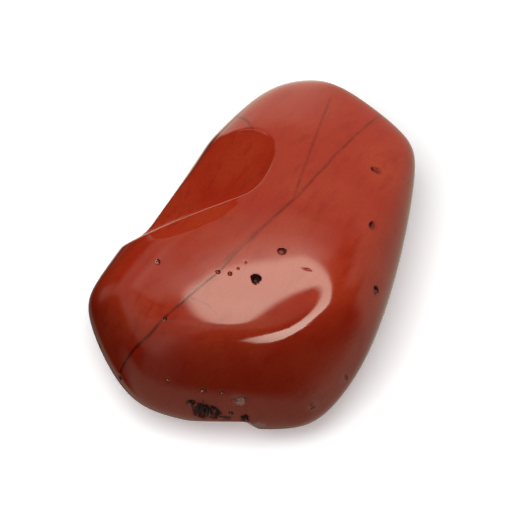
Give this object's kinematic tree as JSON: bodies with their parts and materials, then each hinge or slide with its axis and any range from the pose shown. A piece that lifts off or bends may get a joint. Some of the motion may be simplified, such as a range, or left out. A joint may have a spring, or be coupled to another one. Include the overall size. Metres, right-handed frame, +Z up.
{
  "type": "tumbled red jasper stone",
  "caption": "Polished tumbled red jasper: a rounded, flattened, lobed stone with a worn scoop in one side, a chipped foot, small pits and a rough hole, lying on its worn underside.",
  "frame": {"origin": "bottom centre of the bounding box, on the surface that the stone lies on", "axes": "+Z up, away from the resting flat; +X along the stone's longest way, from the lobe with the rough hole to the head"},
  "size_m": [0.0368, 0.025, 0.0141],
  "materials": {
    "polished_jasper": "brick-red jasper, tumbled to a gloss, with fine mottling, dark healed cracks, small dark pits and a dull rough hole in the foot"
  },
  "bodies": {
    "root": {"stone": "polished_jasper"}
  },
  "joints": []
}
